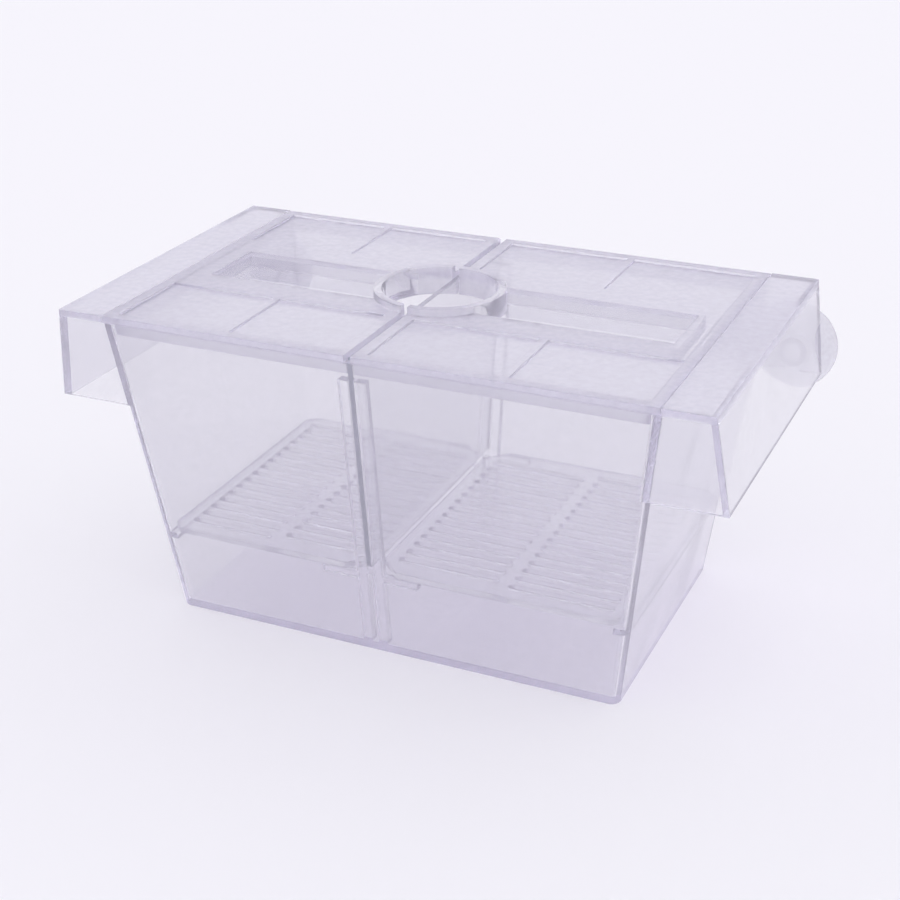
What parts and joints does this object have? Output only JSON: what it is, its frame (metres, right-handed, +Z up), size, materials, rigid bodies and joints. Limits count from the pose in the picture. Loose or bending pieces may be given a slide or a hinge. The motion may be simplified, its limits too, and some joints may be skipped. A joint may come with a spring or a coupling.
{
  "type": "fish breeding box",
  "caption": "Clear floating tank with hanging wings, a lift-out divider, slotted false floors, split lids and suction cups, for keeping fry apart",
  "frame": {"origin": "centre of the tank's flat base, on the surface it stands on", "axes": "+Z up, +X along the length, front faces -Y, suction cups on +Y"},
  "size_m": [0.2054, 0.1157, 0.0987],
  "materials": {
    "clear_polystyrene": "clear moulded, gloss",
    "clear_soft_pvc": "clear, soft gloss"
  },
  "bodies": {
    "tank": {"tank": "clear_polystyrene"},
    "divider": {"divider": "clear_polystyrene"},
    "floor_grid_left": {"floor_grid_left": "clear_polystyrene"},
    "floor_grid_right": {"floor_grid_right": "clear_polystyrene"},
    "lid_left": {"lid_left": "clear_polystyrene"},
    "lid_right": {"lid_right": "clear_polystyrene"},
    "suction_cup_left": {"suction_cup_left": "clear_soft_pvc"},
    "suction_cup_right": {"suction_cup_right": "clear_soft_pvc"}
  },
  "joints": [
    {"name": "lid_left_lift", "type": "slide", "parent": "tank", "child": "lid_left", "axis": [0, 0, 1], "range_m": [0, 0.13]},
    {"name": "lid_right_lift", "type": "slide", "parent": "tank", "child": "lid_right", "axis": [0, 0, 1], "range_m": [0, 0.13]},
    {"name": "divider_lift", "type": "slide", "parent": "tank", "child": "divider", "axis": [0, 0, 1], "range_m": [0, 0.11]},
    {"name": "floor_grid_left_lift", "type": "slide", "parent": "tank", "child": "floor_grid_left", "axis": [0, 0, 1], "range_m": [0, 0.081]},
    {"name": "floor_grid_right_lift", "type": "slide", "parent": "tank", "child": "floor_grid_right", "axis": [0, 0, 1], "range_m": [0, 0.081]},
    {"name": "suction_cup_left_slide", "type": "slide", "parent": "tank", "child": "suction_cup_left", "axis": [0, -0.1204, -0.9927], "range_m": [0, 0.03]},
    {"name": "suction_cup_right_slide", "type": "slide", "parent": "tank", "child": "suction_cup_right", "axis": [0, -0.1204, -0.9927], "range_m": [0, 0.03]}
  ],
  "couplings": [
    {"joint": "floor_grid_left_lift", "follows": "lid_left_lift", "ratio": 0.62},
    {"joint": "floor_grid_right_lift", "follows": "lid_right_lift", "ratio": 0.62}
  ]
}
